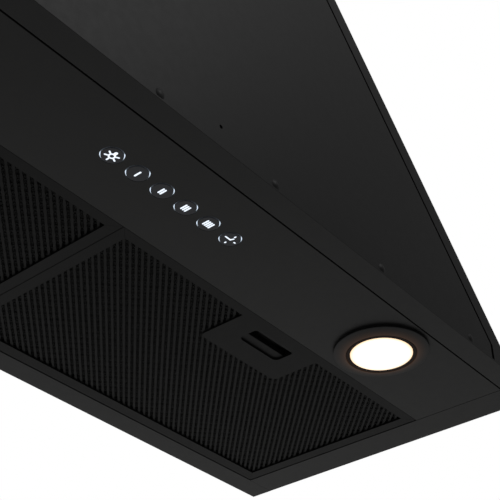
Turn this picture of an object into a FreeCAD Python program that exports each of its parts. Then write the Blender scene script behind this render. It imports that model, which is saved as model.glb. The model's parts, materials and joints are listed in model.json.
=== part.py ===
"""Under cabinet range hood: folded steel body, lit control panel, two mesh grease filters, a
centrifugal blower and a round duct collar with backdraft dampers.

Millimetres. X runs along the hood to the user's right, Y runs to the wall and Z is up. Everything is
drawn with z = 0 on the underside of the flange, then moved down so that the origin is the centre of
the four fixing holes in the outer face of the top plate.
"""
import FreeCAD, Part
import math
import os

from FreeCAD import Vector

# ---------------------------------------------------------------- driving dimensions
flange_width = 752.8
flange_front_y = -150.0
flange_rear_y = 152.2
body_height = 285.0
sheet = 1.2
lip_depth = 17.8            # front flange, outside the front wall
rear_flange_inner = 131.2   # where the rear flange starts, behind the filters
rear_wall_y = 140.0         # inner face of the back panel
body_half_width = 358.7     # outer face of a side panel at the bottom
fold_height = 37.2          # side panels are upright to here, then lean inward
side_lean_deg = 41.4        # from the vertical
side_strip = 20.2           # front strip of a side panel, outside the seam
seam_gap = 3.5
seam_depth = 10.0

panel_front_y = -131.0      # control panel
panel_rear_y = -50.8
panel_half_width = 345.9
panel_rear_height = 34.0
upstand_height = 24.0       # folds along the front and the ends of the control panel
upstand_half_width = 310.0

button_pitch = 21.7
button_y = -94.9
button_radius = 7.15
button_gap = 0.7
button_proud = 0.4          # how far a cap stands below the panel
button_travel = 1.5

lamp_x = 233.6
lamp_y = -92.0
bezel_radius = 36.4
bezel_edge = 2.35           # height of the lamp rim's outer edge
bezel_drop = 4.15           # how far the rim stands below the panel beside the lens
lens_radius = 23.7
lens_drop = 4.05
groove_radius = 26.5        # inner side of the groove round the lens
lamp_hole_radius = 31.0

filter_front_y = -50.2
filter_rear_y = 130.7
filter_inner_x = 0.25
filter_outer_x = 345.9
filter_bottom = 0.2
filter_thickness = 9.0
frame_bar = [7.9, 8.95, 10.3, 11.0]   # front, seam side, outer side, rear

slot_width = 43.8           # finger slot of the latch
slot_front_y = -38.7
slot_rear_y = -20.1
scoop_depth = 4.6           # how far the scoop runs back as it rises from the slot
tab_front_y = -28.0
tab_depth = 14.0
latch_travel = 5.0

collar_radius = 75.0
collar_height = 60.0
collar_y = 35.0
hole_spacing_x = 220.0      # fixing holes in the top plate
hole_spacing_y = 210.0
hole_radius = 2.75

blower_half_width = 58.0
scroll_radius = 72.0
scroll_step = 12.0
scroll_z = 130.0
scroll_y = -19.0
impeller_radius = 62.0
impeller_half_width = 50.0
blade_count = 30

# ---------------------------------------------------------------- derived places
lean = math.tan(math.radians(side_lean_deg))
half_width = flange_width / 2
front_wall_in = flange_front_y + lip_depth
front_wall_out = front_wall_in - sheet
rear_wall_out = rear_wall_y + sheet
web_thickness = sheet / math.cos(math.radians(side_lean_deg))
seam_inset = side_strip + seam_gap
top_under = body_height - sheet
top_half_width = body_half_width - (body_height - fold_height) * lean
filter_top = filter_bottom + filter_thickness
filter_centre_x = (filter_inner_x + filter_outer_x) / 2
slot_half = slot_width / 2

X, Y, Z = Vector(1, 0, 0), Vector(0, 1, 0), Vector(0, 0, 1)
origin_shift = Vector(0, 0, -body_height)


# ---------------------------------------------------------------- shape helpers
def box(x0, x1, y0, y1, z0, z1):
    return Part.makeBox(x1 - x0, y1 - y0, z1 - z0, Vector(x0, y0, z0))


def rod(x, y, z, radius, length, axis=Z):
    return Part.makeCylinder(radius, length, Vector(x, y, z), axis)


def ring(x, y, z, outer, inner, length, axis=Z):
    return rod(x, y, z, outer, length, axis).cut(rod(x, y, z, inner, length, axis))


def fuse(shapes):
    if len(shapes) == 1:
        return shapes[0]
    return shapes[0].multiFuse(shapes[1:]).removeSplitter()


def cut(shape, tools):
    for tool in tools:
        shape = shape.cut(tool)
    return shape


def group(shapes):
    return Part.makeCompound(shapes)


def mirror(shape):
    return shape.mirror(Vector(0, 0, 0), X)


def prism_xz(points, y0, y1):
    loop = [Vector(x, y0, z) for x, z in points]
    return Part.Face(Part.makePolygon(loop + loop[:1])).extrude(Vector(0, y1 - y0, 0))


def prism_yz(points, x0, x1):
    loop = [Vector(x0, y, z) for y, z in points]
    return Part.Face(Part.makePolygon(loop + loop[:1])).extrude(Vector(x1 - x0, 0, 0))


def turned(profile, x, y):
    """Solid of revolution about the upright axis through x, y; profile holds (radius, z)."""
    loop = [Vector(x + r, y, z) for r, z in profile]
    return Part.Face(Part.makePolygon(loop + loop[:1])).revolve(Vector(x, y, 0), Z, 360)


def rounded_box(x0, x1, y0, y1, z0, z1, radius):
    """Box whose four upright edges are rounded."""
    solid = box(x0, x1, y0, y1, z0, z1)
    upright = [e for e in solid.Edges if abs(e.BoundBox.ZLength - (z1 - z0)) < 1e-6]
    return solid.makeFillet(radius, upright)


def soften(solid, radius, keep):
    """Round the straight edges for which keep(edge bounding box) is true."""
    edges = [e for e in solid.Edges if keep(e.BoundBox)]
    return solid.makeFillet(radius, edges)


# ---------------------------------------------------------------- body shell
def side_x(z, inset=0.0):
    """Half width of the body at height z, less an inset."""
    return body_half_width - inset - max(0.0, z - fold_height) * lean


def side_band(inner, outer, z0, z1):
    """Outline of the right edge's band between two insets, from z0 to z1."""
    heights = [z0, fold_height, z1]
    out = [(side_x(z, outer), z) for z in heights]
    back = [(side_x(z, inner), z) for z in reversed(heights)]
    return out + back


def trapezoid(inset, z0, z1):
    """Full outline of the front or back wall."""
    heights = [z0, fold_height, z1]
    right = [(side_x(z, inset), z) for z in heights]
    left = [(-x, z) for x, z in reversed(right)]
    return right + left


rivet_x = [55.0, 178.0, 302.0]
rivet_z = 26.6
rivet_head_radius = 3.8
rivet_head_height = 1.1
rivet_shank_radius = 1.6
rivet_shank_length = 4.0
pilot_hole_z = 39.0
pilot_hole_radius = 1.5
edge_softening = 0.25       # on the outer lower edges of the flange


def rivet_places():
    return [side * x for x in rivet_x for side in (-1, 1)]


def front_panel():
    """Front wall with a return fold along each sloping edge, beside the seam."""
    wall = prism_xz(trapezoid(seam_inset, sheet, top_under), front_wall_out, front_wall_in)
    edge = prism_xz(side_band(seam_inset + web_thickness, seam_inset, sheet, top_under),
                    front_wall_out, front_wall_in + seam_depth - 3 * sheet)
    panel = fuse([wall, edge, mirror(edge)])
    holes = [rod(x, front_wall_out - 1, rivet_z, rivet_shank_radius, 4, Y) for x in rivet_places()]
    holes.append(rod(0, front_wall_out - 1, pilot_hole_z, pilot_hole_radius, 4, Y))
    return cut(panel, holes)


def front_flange():
    """Strip under the front wall, out to the flange's front edge and both front corners."""
    strip = box(-half_width, half_width, flange_front_y, front_wall_in, 0, sheet)
    return soften(strip, edge_softening,
                  lambda b: b.XLength > half_width and b.YMin < flange_front_y + 1 and b.ZMax < 0.1)


def back_panel():
    return prism_xz(trapezoid(0, sheet, top_under), rear_wall_y, rear_wall_out)


def rear_flange():
    """Strip under the back panel; the filters' rear tabs rest on its inner edge."""
    strip = box(-half_width, half_width, rear_flange_inner, flange_rear_y, 0, sheet)
    return soften(strip, edge_softening, lambda b: b.XLength > half_width and b.ZMax < 0.1)


def right_side_panel():
    web = prism_xz(side_band(web_thickness, 0, 0, top_under), front_wall_out, rear_wall_y)
    foot = box(filter_outer_x + 0.6, half_width, front_wall_in + 0.6, rear_flange_inner - 0.1, 0, sheet)
    foot = soften(foot, edge_softening, lambda b: b.YLength > filter_rear_y and b.ZMax < 0.1)
    strip = prism_xz(side_band(side_strip, 0, sheet + 0.2, top_under), front_wall_out, front_wall_in)
    joggle = prism_xz(side_band(side_strip, side_strip - web_thickness, sheet + 0.2, top_under),
                      front_wall_in, front_wall_in + seam_depth)
    backing = prism_xz(side_band(seam_inset + 18, side_strip - web_thickness, sheet + 0.2, top_under),
                       front_wall_in + seam_depth - sheet, front_wall_in + seam_depth)
    rear_strip = prism_xz(side_band(24, 0, sheet + 0.2, top_under), rear_wall_y - sheet, rear_wall_y)
    top_fold = box(top_half_width - 14, side_x(top_under), front_wall_out, rear_wall_y,
                   top_under - sheet, top_under)
    panel = fuse([web, foot, strip, joggle, backing, rear_strip, top_fold])
    clearance = box(-half_width, half_width, flange_front_y, front_wall_in, -1, sheet)
    ledge_room = box(0, half_width, rear_flange_inner - 0.1, flange_rear_y, -1, sheet)
    return cut(panel, [clearance, ledge_room])


def top_plate():
    plate = box(-top_half_width, top_half_width, front_wall_out, rear_wall_out, top_under, body_height)
    holes = [rod(0, collar_y, top_under - 1, collar_radius - 1.2, 4)]
    for sx in (-1, 1):
        for sy in (-1, 1):
            holes.append(rod(sx * hole_spacing_x / 2, sy * hole_spacing_y / 2, top_under - 1,
                             hole_radius, 4))
    holes.append(rod(gland_x, gland_y, top_under - 1, gland_neck, 4))
    return cut(plate, holes + collar_screw_holes())


def front_rivets():
    """Six dome heads on the front wall, with their shanks through it."""
    sphere_radius = (rivet_head_radius ** 2 + rivet_head_height ** 2) / (2 * rivet_head_height)
    centre_y = front_wall_out + sphere_radius - rivet_head_height
    rivets = []
    for x in rivet_places():
        ball = Part.makeSphere(sphere_radius, Vector(x, centre_y, rivet_z))
        ahead = rod(x, front_wall_out, rivet_z, rivet_head_radius + 1, 5, -Y)
        shank = rod(x, front_wall_out, rivet_z, rivet_shank_radius, rivet_shank_length, Y)
        rivets.append(fuse([ball.common(ahead), shank]))
    return group(rivets)


# ---------------------------------------------------------------- duct collar and dampers
collar_screw_ring = 84.0
collar_screw_radius = 1.7
collar_screw_angles = [45, 135, 225, 315]
collar_flange_radius = 92.0
collar_wall = 1.2
spindle_radius = 2.0
spindle_z = body_height + 18.0
knuckle_radius = 3.3
knuckle_clearance = 0.08
flap_thickness = 1.0
flap_radius = collar_radius - collar_wall - 1.2
flap_start = knuckle_radius + 0.4
flap_seat_gap = 0.35
stop_width = 3.0


def on_collar(angle, radius):
    a = math.radians(angle)
    return radius * math.cos(a), collar_y + radius * math.sin(a)


def duct_collar():
    """Tube that the duct slips over, with an inner ledge that the closed flaps rest on."""
    bore = collar_radius - collar_wall
    tube = ring(0, collar_y, body_height + sheet, collar_radius, bore, collar_height - sheet)
    stop_z = spindle_z - flap_thickness / 2 - flap_seat_gap - sheet
    stop = ring(0, collar_y, stop_z, collar_radius - 0.2, bore - stop_width, sheet)
    notch = box(-collar_radius, collar_radius, collar_y - 5, collar_y + 5, stop_z - 1, stop_z + 3)
    inside = rod(0, collar_y, stop_z - 1, bore - 0.05, 4)
    stop = stop.cut(notch.common(inside))
    spindle_way = rod(-collar_radius - 1, collar_y, spindle_z, spindle_radius, 2 * collar_radius + 2, X)
    return fuse([tube, stop]).cut(spindle_way)


def collar_flange():
    """Flat ring that the collar stands on, screwed to the top plate."""
    flange = ring(0, collar_y, body_height, collar_flange_radius, collar_radius - collar_wall, sheet)
    return cut(flange, collar_screw_holes())


def collar_screw_holes():
    places = [on_collar(angle, collar_screw_ring) for angle in collar_screw_angles]
    return [rod(x, y, top_under - 1, collar_screw_radius, 5) for x, y in places]


def collar_screws():
    screws = []
    for angle in collar_screw_angles:
        x, y = on_collar(angle, collar_screw_ring)
        head = turned([(0, 0), (3.4, 0), (3.0, 1.4), (1.8, 2.2), (0, 2.4)], x, y)
        head.translate(Vector(0, 0, body_height + sheet))
        shank = rod(x, y, body_height - 6, collar_screw_radius, 6 + sheet)
        slot = box(x - 0.4, x + 0.4, y - 2, y + 2, body_height + sheet + 1.5, body_height + sheet + 3)
        screws.append(fuse([head, shank]).cut(slot))
    return group(screws)


def damper_spindle():
    return rod(-collar_radius, collar_y, spindle_z, spindle_radius, 2 * collar_radius, X)


def damper_flap(side, knuckle_starts):
    """Half-round flap on the spindle; side is -1 for the front one and 1 for the rear one."""
    low = spindle_z - flap_thickness / 2
    disc = rod(0, collar_y, low, flap_radius, flap_thickness)
    reach = 2 * flap_radius
    keep = [collar_y + flap_start, collar_y + reach]
    if side < 0:
        keep = [collar_y - reach, collar_y - flap_start]
    plate = disc.common(box(-reach, reach, keep[0], keep[1], low - 1, low + 3))
    parts = [plate]
    for start in knuckle_starts:
        parts.append(rod(start, collar_y, spindle_z, knuckle_radius, 12, X))
        arm = [collar_y, collar_y + side * (flap_start + 2)]
        parts.append(box(start, start + 12, min(arm), max(arm), low, low + flap_thickness))
    flap = fuse(parts)
    return flap.cut(rod(-reach, collar_y, spindle_z, spindle_radius + knuckle_clearance, 2 * reach, X))


# ---------------------------------------------------------------- blower
plate_thickness = 1.0
inlet_radius = 56.0
throat_radius = 48.0
shaft_radius = 4.0
motor_radius = 36.0
motor_start = 14.0
motor_end = 62.0
bracket_x = blower_half_width + plate_thickness


def scroll_face():
    """Outline of the air space in the YZ plane: three growing quarter arcs, then the outlet."""
    r1 = scroll_radius
    r2 = r1 + scroll_step
    r3 = r2 + scroll_step
    c1 = (scroll_y, scroll_z)
    c2 = (scroll_y + scroll_step, scroll_z)
    c3 = (scroll_y + scroll_step, scroll_z + scroll_step)

    def at(centre, radius, degrees):
        a = math.radians(degrees)
        return Vector(0, centre[0] + radius * math.cos(a), centre[1] + radius * math.sin(a))

    def quarter(centre, radius, start):
        return Part.Arc(at(centre, radius, start), at(centre, radius, start + 45),
                        at(centre, radius, start + 90)).toShape()

    arcs = [quarter(c1, r1, 90), quarter(c2, r2, 180), quarter(c3, r3, 270)]
    cutoff = at(c1, r1, 90)
    last = at(c3, r3, 360)
    corner_rear = Vector(0, last.y, top_under)
    corner_front = Vector(0, cutoff.y, top_under)
    lines = [Part.makeLine(last, corner_rear), Part.makeLine(corner_rear, corner_front),
             Part.makeLine(corner_front, cutoff)]
    return Part.Face(Part.Wire(arcs + lines))


def blower_scroll():
    air = scroll_face()
    outer = air.makeOffset2D(plate_thickness)
    band = outer.cut(air)
    strip = band.extrude(Vector(2 * blower_half_width, 0, 0))
    strip.translate(Vector(-blower_half_width, 0, 0))
    above = box(-200, 200, -200, 200, top_under - 0.2, top_under + 50)
    return strip.cut(above)


def blower_side(side):
    plate = scroll_face().makeOffset2D(plate_thickness).extrude(Vector(plate_thickness, 0, 0))
    start = blower_half_width if side > 0 else -blower_half_width - plate_thickness
    plate.translate(Vector(start, 0, 0))
    above = box(-200, 200, -200, 200, top_under - 0.2, top_under + 50)
    inlet = rod(start - 1, scroll_y, scroll_z, inlet_radius, 4, X)
    return cut(plate, [above, inlet])


def inlet_ring():
    """Bell mouth on the right side: an inner flange and a throat that narrows towards the impeller."""
    flare = 8.0
    bell = Part.makeTorus(inlet_radius, flare, Vector(blower_half_width - 4, scroll_y, scroll_z), X)
    hollow = Part.makeTorus(inlet_radius, flare - plate_thickness,
                            Vector(blower_half_width - 4, scroll_y, scroll_z), X)
    keep = ring(blower_half_width - 4, scroll_y, scroll_z, inlet_radius, throat_radius - 1, 4, X)
    throat = bell.cut(hollow).common(keep)
    flange = ring(blower_half_width - plate_thickness, scroll_y, scroll_z, inlet_radius + 3,
                  throat_radius + 1.5, plate_thickness, X)
    return fuse([throat, flange])


def inlet_rings():
    right = inlet_ring()
    return group([mirror(right), right])


hanger_sheet = 1.5
hanger_foot = 22.0
hanger_drop = 34.0
hanger_y = [-15.0, 85.0]


def blower_brackets():
    """An angle on each side of the blower; its foot also closes the collar hole beside the outlet."""
    under = top_under - hanger_sheet
    leg = box(bracket_x, bracket_x + hanger_sheet, hanger_y[0], hanger_y[1], top_under - hanger_drop, under)
    foot = box(bracket_x, bracket_x + hanger_foot, hanger_y[0], hanger_y[1], under, top_under)
    right = fuse([leg, foot])
    return group([mirror(right), right])


def impeller():
    inner, outer, sweep_deg, thickness_deg = 51.0, impeller_radius - 0.6, 9.0, 1.0

    def at(radius, degrees):
        a = math.radians(degrees)
        return Vector(-impeller_half_width, scroll_y + radius * math.cos(a),
                      scroll_z + radius * math.sin(a))

    def blade(angle):
        middle = (inner + outer) / 2
        first = [at(inner, angle), at(middle, angle + 1.5), at(outer, angle + sweep_deg)]
        second = [at(inner, angle + thickness_deg), at(middle, angle + 1.5 + thickness_deg),
                  at(outer, angle + sweep_deg + thickness_deg)]
        wire = Part.Wire([Part.Arc(*first).toShape(), Part.makeLine(first[2], second[2]),
                          Part.Arc(*reversed(second)).toShape(), Part.makeLine(second[0], first[0])])
        return Part.Face(wire).extrude(Vector(2 * impeller_half_width, 0, 0))

    blades = [blade(360.0 * i / blade_count) for i in range(blade_count)]
    ends = [ring(x, scroll_y, scroll_z, impeller_radius, inner + 6, 3, X)
            for x in (-impeller_half_width - 0.5, impeller_half_width - 2.5)]
    disc = rod(-0.8, scroll_y, scroll_z, impeller_radius, 1.6, X)
    hub = rod(-12, scroll_y, scroll_z, 12, 22, X)
    wheel = fuse([disc, hub] + ends + blades)
    return wheel.cut(rod(-20, scroll_y, scroll_z, shaft_radius, 40, X))


def motor_shaft():
    return rod(-16, scroll_y, scroll_z, shaft_radius, motor_end + 3 + 16, X)


def motor_housing():
    can = rod(motor_start, scroll_y, scroll_z, motor_radius, motor_end - motor_start, X)
    can = can.makeFillet(3, [e for e in can.Edges if e.Curve.TypeId == "Part::GeomCircle"])
    tools = [rod(motor_start - 1, scroll_y, scroll_z, 9.5, 9, X),
             rod(motor_end - 8, scroll_y, scroll_z, 9.5, 9, X),
             rod(motor_start, scroll_y, scroll_z, shaft_radius + 2, motor_end - motor_start, X)]
    for i in range(12):
        a = math.radians(30 * i)
        tools.append(rod(motor_start - 1, scroll_y + 24 * math.cos(a), scroll_z + 24 * math.sin(a),
                         2.5, 5, X))
    return cut(can, tools)


def motor_bearings():
    places = [motor_start + 0.5, motor_end - 7.5]
    return group([ring(x, scroll_y, scroll_z, 9.5, shaft_radius + 0.05, 7, X) for x in places])


def motor_bracket():
    band = ring(bracket_x - 7, scroll_y, scroll_z, motor_radius + 2, motor_radius, 10, X)
    arms = []
    for angle in (90, 210, 330):
        arm = box(bracket_x, bracket_x + 3, scroll_y + motor_radius + 1, scroll_y + 68,
                  scroll_z - 6, scroll_z + 6)
        arm.rotate(Vector(0, scroll_y, scroll_z), X, angle)
        arms.append(arm)
    return fuse([band] + arms)


def run_capacitor():
    can = rod(150, rear_wall_y - 22, 90, 17, 62)
    can = can.makeFillet(2, [e for e in can.Edges if e.Curve.TypeId == "Part::GeomCircle"])
    clip = box(140, 160, rear_wall_y - 6, rear_wall_y, 110, 122)
    pins = [box(x, x + 0.8, rear_wall_y - 25, rear_wall_y - 19, 152, 160) for x in (144, 155)]
    return fuse([can, clip] + pins)


# ---------------------------------------------------------------- mains and wiring
gland_x = -94.0
gland_y = -60.0
gland_bore = 4.5
gland_neck = 8.0
junction_half = 20.0
junction_depth = 40.0


def junction_box():
    low = top_under - junction_depth
    shell = rounded_box(gland_x - junction_half, gland_x + junction_half, gland_y - junction_half,
                        gland_y + junction_half, low, top_under, 4)
    hollow = rounded_box(gland_x - junction_half + 2, gland_x + junction_half - 2,
                         gland_y - junction_half + 2, gland_y + junction_half - 2,
                         low - 1, top_under - 2, 3)
    way_out = rod(gland_x, gland_y, top_under - 4, gland_neck, 6)
    wire_way = rod(gland_x, gland_y - junction_half - 1, low + 14, harness_radius, 4, Y)
    return cut(shell, [hollow, way_out, wire_way])


def junction_cover():
    low = top_under - junction_depth
    return rounded_box(gland_x - junction_half, gland_x + junction_half, gland_y - junction_half,
                       gland_y + junction_half, low - 2, low, 4)


def cable_gland():
    """Threaded neck through the top plate, a hexagon body and a ribbed nut; the cord isn't shown."""
    neck = rod(gland_x, gland_y, top_under - 4, gland_neck, 6 + sheet)
    corners = [Vector(gland_x + 12 * math.cos(math.radians(60 * i)),
                      gland_y + 12 * math.sin(math.radians(60 * i)), body_height) for i in range(6)]
    hexagon = Part.Face(Part.makePolygon(corners + corners[:1])).extrude(Vector(0, 0, 6))
    nut = turned([(0, 6), (10.5, 6), (10.5, 12), (9.5, 16), (7.5, 19), (0, 19)], gland_x, gland_y)
    nut.translate(Vector(0, 0, body_height))
    return fuse([neck, hexagon, nut]).cut(rod(gland_x, gland_y, top_under - 10, gland_bore, 60))


driver_x = 130.0
driver_y = -98.0
driver_size = [80.0, 40.0, 22.8]
driver_ear = [8.0, 12.0, 2.0]


def led_driver():
    """Sealed lamp supply on the tray, with a screw ear at each end."""
    half_x, half_y = driver_size[0] / 2, driver_size[1] / 2
    case = rounded_box(driver_x - half_x, driver_x + half_x, driver_y - half_y, driver_y + half_y,
                       sheet, sheet + driver_size[2], 3)
    reach = half_x + driver_ear[0]
    ears = box(driver_x - reach, driver_x + reach, driver_y - driver_ear[1] / 2,
               driver_y + driver_ear[1] / 2, sheet, sheet + driver_ear[2])
    return fuse([case, ears])


harness_radius = 3.2


def wiring_harness():
    """Sleeved wires: up the front wall from the control tray, then back under the top plate."""
    x = gland_x
    y_front = front_wall_in + 8
    z_top = top_under - junction_depth + 14
    y_end = gland_y - junction_half
    bend = 22.0
    low_y = panel_front_y + 30
    start = Vector(x, low_y, 16)
    corner_a = Vector(x, low_y, 60)
    corner_b = Vector(x, y_front, 110)
    corner_c = Vector(x, y_front, z_top)
    end = Vector(x, y_end, z_top)
    points = [start, corner_a, corner_b, corner_c, end]
    edges = []
    here = start
    for before, corner, after in zip(points, points[1:], points[2:]):
        into = (corner - before).normalize()
        out = (after - corner).normalize()
        turn = math.acos(max(-1.0, min(1.0, into.dot(out))))
        trim = bend * math.tan(turn / 2)
        arc_in = corner - into * trim
        arc_out = corner + out * trim
        side = (out - into).normalize()
        middle = corner + side * (bend / math.cos(turn / 2) - bend)
        edges.append(Part.makeLine(here, arc_in))
        edges.append(Part.Arc(arc_in, middle, arc_out).toShape())
        here = arc_out
    edges.append(Part.makeLine(here, end))
    path = Part.Wire(edges)
    section = Part.Wire([Part.makeCircle(harness_radius - 0.05, start, Z)])
    return path.makePipeShell([section], True, True)


# ---------------------------------------------------------------- control panel and buttons
button_names = ["light", "speed_1", "speed_2", "speed_3", "speed_4", "timer"]
button_xs = [(i - 2.5) * button_pitch for i in range(len(button_names))]
button_face = -button_proud
spigot_low = 0.9            # lit lip of a light ring, inside the hole in the panel
light_ring_low = sheet + 0.05
light_ring_high = 4.0
light_ring_radius = 10.4
cap_flange_radius = 9.5
cap_flange_low = 4.4
cap_flange_high = 5.4
cap_stem_high = 7.0
carrier_high = 8.0
board_low = 12.5
board_high = 14.1


def control_panel():
    base = box(-panel_half_width, panel_half_width, panel_front_y, panel_rear_y, 0, sheet)
    base = soften(base, 0.3, lambda b: b.XLength > panel_half_width and b.ZMax < 0.1)
    front = box(-upstand_half_width, upstand_half_width, panel_front_y, panel_front_y + sheet,
                sheet - 0.3, upstand_height)
    rear = box(-panel_half_width, panel_half_width, panel_rear_y - sheet, panel_rear_y, sheet - 0.3,
               panel_rear_height)
    ends = [box(x0, x0 + sheet, panel_front_y + seam_depth, panel_rear_y, sheet - 0.3, upstand_height)
            for x0 in (-panel_half_width, panel_half_width - sheet)]
    tools = [rod(x, button_y, -1, button_radius + button_gap, 4) for x in button_xs]
    for side in (-1, 1):
        tools.append(rod(side * lamp_x, lamp_y, -1, lamp_hole_radius, 4))
        cx = side * filter_centre_x
        tools.append(box(cx - 11, cx + 11, panel_rear_y - 4, panel_rear_y + 1,
                         latch_arm_low - 0.5, latch_arm_high + 0.5))
    return cut(fuse([base, front, rear] + ends), tools)


def button_carrier():
    """Block behind the panel that locates the light rings and guides the flanges of the caps."""
    block = rounded_box(-70, 70, button_y - 14, button_y + 14, sheet, carrier_high, 3)
    tools = []
    for x in button_xs:
        tools.append(rod(x, button_y, 0, light_ring_radius, light_ring_high))
        tools.append(rod(x, button_y, light_ring_high - 1, cap_flange_radius + 0.35, 10))
    return cut(block, tools)


def button_light_rings():
    """Light guides round the caps: a wide ring above the panel and a lip down into its hole."""
    bore = button_radius + 0.35
    lip_radius = button_radius + button_gap - 0.05
    rings = []
    for x in button_xs:
        wide = ring(x, button_y, light_ring_low, light_ring_radius, bore, light_ring_high - light_ring_low)
        lip = ring(x, button_y, spigot_low, lip_radius, bore, light_ring_low + 0.5 - spigot_low)
        rings.append(fuse([wide, lip]))
    return group(rings)


def button(x):
    """Cap with a softened face, a flange that keeps it in and a stem that works the switch."""
    cap = rod(x, button_y, button_face, button_radius, cap_flange_low - button_face)
    cap = soften(cap, 0.35, lambda b: b.ZMax < button_face + 0.01 and b.ZLength < 0.01)
    flange = rod(x, button_y, cap_flange_low, cap_flange_radius, cap_flange_high - cap_flange_low)
    stem = rod(x, button_y, cap_flange_high, 2.0, cap_stem_high - cap_flange_high)
    return fuse([cap, flange, stem])


def button_switches():
    switches = []
    plunger_low = cap_stem_high + button_travel + 0.3
    for x in button_xs:
        body = box(x - 3, x + 3, button_y - 3, button_y + 3, plunger_low + 0.6, board_low)
        plunger = rod(x, button_y, plunger_low, 1.7, 0.6)
        switches.append(fuse([body, plunger]))
    return group(switches)


def control_board():
    board = box(-68, 68, button_y - 13, button_y + 13, board_low, board_high)
    chips = [box(x, x + 12, button_y + 2, button_y + 10, board_high, board_high + 2.5)
             for x in (-50, -20, 10)]
    plug = box(-60, -44, button_y - 11, button_y - 4, board_high, board_high + 8)
    posts = [rod(sx * 64, button_y + sy * 9.5, carrier_high, 2.5, board_low - carrier_high)
             for sx in (-1, 1) for sy in (-1, 1)]
    return fuse([board, plug] + chips + posts)


# ---------------------------------------------------------------- lamps
lens_thickness = 2.2
lens_bore = lens_radius + 0.3
seat_low = -lens_drop + lens_thickness + 0.1
neck_radius = lamp_hole_radius - 0.4
neck_bore = lens_radius + 1.6
neck_high = 9.0


def lamp_bezel(side):
    """Turned ring: a cone that thins outward, a groove round the lens, a lens seat and a neck."""
    outline = [(lens_bore, -lens_drop), (groove_radius, -lens_drop), (groove_radius, -lens_drop + 0.9),
               (groove_radius + 0.6, -lens_drop + 0.9), (groove_radius + 0.6, -bezel_drop),
               (bezel_radius - 0.4, -bezel_edge - 0.1), (bezel_radius, -bezel_edge + 0.2),
               (bezel_radius, 0), (neck_radius, 0), (neck_radius, neck_high), (neck_bore, neck_high),
               (neck_bore, seat_low + 1.2), (lens_radius - 1.4, seat_low + 1.2),
               (lens_radius - 1.4, seat_low), (lens_bore, seat_low)]
    return turned(outline, side * lamp_x, lamp_y)


def lamp_lens(side):
    disc = rod(side * lamp_x, lamp_y, -lens_drop, lens_radius, lens_thickness)
    return disc.makeFillet(0.5, [e for e in disc.Edges if e.BoundBox.ZMax < -lens_drop + 0.01])


def lamp_housing(side):
    x = side * lamp_x
    cup = ring(x, lamp_y, neck_high, neck_radius, neck_bore, 13)
    roof = rod(x, lamp_y, neck_high + 13, neck_radius, 2.5)
    fins = [box(x - 22, x + 22, y - 0.8, y + 0.8, 24.5, 30)
            for y in [lamp_y + 8 * i for i in (-2, -1, 0, 1, 2)]]
    return fuse([cup, roof] + fins)


def lamp_boards():
    boards = []
    for side in (-1, 1):
        x = side * lamp_x
        disc = rod(x, lamp_y, 20.4, 23.5, 1.6)
        chips = [rod(x + 12 * math.cos(a), lamp_y + 12 * math.sin(a), 19.4, 2.2, 1.0)
                 for a in [math.radians(60 * i) for i in range(6)]]
        boards.append(fuse([disc] + chips))
    return group(boards)


def lamp_clips():
    """Two spring leaves per lamp: each bears on the housing and presses down on the panel."""
    clips = []
    for side in (-1, 1):
        for way in (-1, 1):
            x0 = side * lamp_x + way * neck_radius
            points = [(x0, 20), (x0 + way * 12, 2.2), (x0 + way * 16, sheet), (x0 + way * 19, sheet),
                      (x0 + way * 19, sheet + 0.8), (x0 + way * 16.4, sheet + 0.8),
                      (x0 + way * 12.6, 3.0), (x0 + way * 0.8, 20.8), (x0, 20.8)]
            clips.append(prism_xz(points, lamp_y - 6, lamp_y + 6))
    return group(clips)


# ---------------------------------------------------------------- grease filters (right one)
mesh_inset = 1.2
pocket_wall = 0.8
pocket_half = slot_half + 3.0
pocket_front_y = filter_front_y + frame_bar[0] + 0.2
pocket_rear_y = tab_front_y + tab_depth + latch_travel + 3.4
pocket_high = filter_top - 0.2
plate_high = filter_bottom + sheet
tab_low = 1.7
tab_high = 2.9
latch_arm_low = 6.8
latch_arm_high = 7.8
spring_z = 5.8
spring_radius = 1.6
spring_wire = 0.3


def window(x_pad, y_pad, z0, z1):
    """Opening of the filter frame, grown by a pad on every side."""
    return box(filter_inner_x + frame_bar[1] - x_pad, filter_outer_x - frame_bar[2] + x_pad,
               filter_front_y + frame_bar[0] - y_pad, filter_rear_y - frame_bar[3] + y_pad, z0, z1)


def filter_frame():
    """Hollow-section frame with mitred corners, a slot for the latch arm and two rear tabs."""
    block = box(filter_inner_x, filter_outer_x, filter_front_y, filter_rear_y, filter_bottom, filter_top)
    block = soften(block, 0.5, lambda b: b.ZMax < filter_bottom + 0.01)
    groove_pad = frame_bar[0] - mesh_inset
    tools = [window(0, 0, filter_bottom - 1, filter_top + 1),
             window(groove_pad, groove_pad, filter_bottom + 1.0, filter_top - 1.0),
             box(filter_centre_x - 10.6, filter_centre_x + 10.6, filter_front_y - 1,
                 filter_front_y + 2, latch_arm_low - 0.4, latch_arm_high + 0.4)]
    frame = cut(block, tools)
    tabs = [box(x - 15, x + 15, filter_rear_y - 1, filter_rear_y + 6.3, sheet + 0.3, sheet + 1.5)
            for x in (filter_centre_x - 110, filter_centre_x + 110)]
    return fuse([frame] + tabs)


def filter_mesh():
    """Envelope of the stacked expanded-aluminium layers, with room for the latch pocket."""
    pad = frame_bar[0] - mesh_inset - 0.4
    pack = window(pad, pad, filter_bottom + 1.2, filter_top - 1.2)
    notch = box(filter_centre_x - plate_half, filter_centre_x + plate_half, filter_front_y,
                plate_rear_y, filter_bottom, filter_top)
    return pack.cut(notch)


plate_half = 43.8
plate_rear_y = -0.7


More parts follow.
